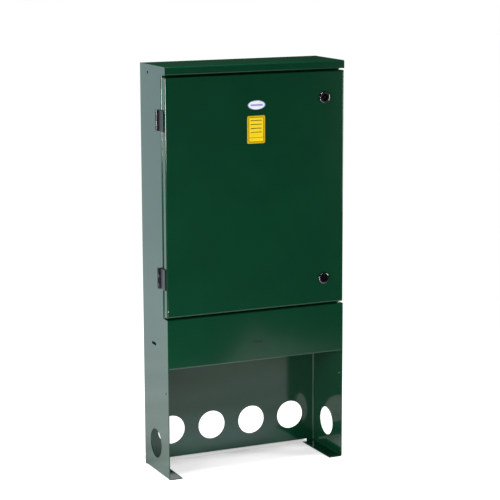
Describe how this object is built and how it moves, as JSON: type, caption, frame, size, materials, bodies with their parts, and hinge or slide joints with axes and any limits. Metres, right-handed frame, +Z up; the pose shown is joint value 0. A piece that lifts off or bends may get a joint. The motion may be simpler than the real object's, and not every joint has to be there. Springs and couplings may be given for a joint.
{
  "type": "feeder pillar",
  "caption": "Street feeder pillar in folded green steel: open cable root, cabinet with one hinged door, quarter-turn locks and a backboard with switchgear.",
  "frame": {"origin": "ground plane under the middle of the cabinet's footprint", "axes": "+Z up, -Y out of the door, +X to the right of someone facing the door"},
  "size_m": [0.6113, 0.21, 1.275],
  "materials": {
    "green_powder_coat": "gloss",
    "black_hinge_casting": "satin",
    "black_lock_casting": "gloss",
    "lock_insert_zinc": "satin",
    "zinc_plated_steel": "satin",
    "brass": "satin",
    "grey_moulding": "matte",
    "black_moulding": "satin",
    "red_insulator": "satin",
    "black_foam_rubber": "matte",
    "board": "matte"
  },
  "bodies": {
    "cabinet": {"back_panel": "green_powder_coat", "backboard": "board", "backboard_bolts": "zinc_plated_steel", "backboard_nuts": "zinc_plated_steel", "breaker_1_case": "grey_moulding", "breaker_2_case": "grey_moulding", "breaker_3_case": "grey_moulding", "breaker_4_case": "grey_moulding", "cabinet_earth_nut": "brass", "cabinet_earth_stud": "brass", "earth_bar": "brass", "earth_bar_posts": "red_insulator", "earth_bar_screws": "brass", "hinge_body_nuts": "zinc_plated_steel", "hinge_body_screws": "zinc_plated_steel", "left_side": "green_powder_coat", "lower_channel": "zinc_plated_steel", "lower_front_panel": "green_powder_coat", "lower_hinge_body_leaf": "black_hinge_casting", "lower_hinge_pin": "zinc_plated_steel", "main_switch_case": "grey_moulding", "mounting_rail": "zinc_plated_steel", "mounting_rail_screws": "zinc_plated_steel", "neutral_bar": "brass", "neutral_bar_posts": "red_insulator", "neutral_bar_screws": "brass", "right_side": "green_powder_coat", "roof": "green_powder_coat", "upper_channel": "zinc_plated_steel", "upper_hinge_body_leaf": "black_hinge_casting", "upper_hinge_pin": "zinc_plated_steel"},
    "door": {"door_pan": "green_powder_coat", "door_gasket": "black_foam_rubber", "upper_hinge_door_leaf": "black_hinge_casting", "lower_hinge_door_leaf": "black_hinge_casting", "hinge_door_screws": "zinc_plated_steel", "upper_lock_housing": "black_lock_casting", "lower_lock_housing": "black_lock_casting", "upper_lock_nut": "zinc_plated_steel", "lower_lock_nut": "zinc_plated_steel", "door_earth_stud": "brass", "door_earth_nut": "brass"},
    "upper_lock": {"upper_lock_insert": "lock_insert_zinc", "upper_lock_cam": "zinc_plated_steel", "upper_lock_cam_screw": "zinc_plated_steel"},
    "lower_lock": {"lower_lock_insert": "lock_insert_zinc", "lower_lock_cam": "zinc_plated_steel", "lower_lock_cam_screw": "zinc_plated_steel"},
    "main_switch": {"main_switch_handle": "black_moulding"},
    "breaker_1": {"breaker_1_toggle": "black_moulding"},
    "breaker_2": {"breaker_2_toggle": "black_moulding"},
    "breaker_3": {"breaker_3_toggle": "black_moulding"},
    "breaker_4": {"breaker_4_toggle": "black_moulding"}
  },
  "joints": [
    {"name": "door_swing", "type": "hinge", "parent": "cabinet", "child": "door", "pos_m": [-0.306, -0.0525, 0.88], "axis": [0, 0, -1], "range_deg": [0, 170]},
    {"name": "upper_lock_turn", "type": "hinge", "parent": "door", "child": "upper_lock", "pos_m": [0.231, -0.1025, 1.163], "axis": [0, -1, 0], "range_deg": [0, 90]},
    {"name": "lower_lock_turn", "type": "hinge", "parent": "door", "child": "lower_lock", "pos_m": [0.231, -0.1025, 0.593], "axis": [0, -1, 0], "range_deg": [0, 90]},
    {"name": "main_switch_turn", "type": "hinge", "parent": "cabinet", "child": "main_switch", "pos_m": [-0.0358, -0.0105, 0.982], "axis": [0, -1, 0], "range_deg": [0, 90]},
    {"name": "breaker_1_flip", "type": "hinge", "parent": "cabinet", "child": "breaker_1", "pos_m": [0.00895, -0.005, 0.982], "axis": [-1, 0, 0], "range_deg": [0, 70]},
    {"name": "breaker_2_flip", "type": "hinge", "parent": "cabinet", "child": "breaker_2", "pos_m": [0.02685, -0.005, 0.982], "axis": [-1, 0, 0], "range_deg": [0, 70]},
    {"name": "breaker_3_flip", "type": "hinge", "parent": "cabinet", "child": "breaker_3", "pos_m": [0.04475, -0.005, 0.982], "axis": [-1, 0, 0], "range_deg": [0, 70]},
    {"name": "breaker_4_flip", "type": "hinge", "parent": "cabinet", "child": "breaker_4", "pos_m": [0.06265, -0.005, 0.982], "axis": [-1, 0, 0], "range_deg": [0, 70]}
  ]
}
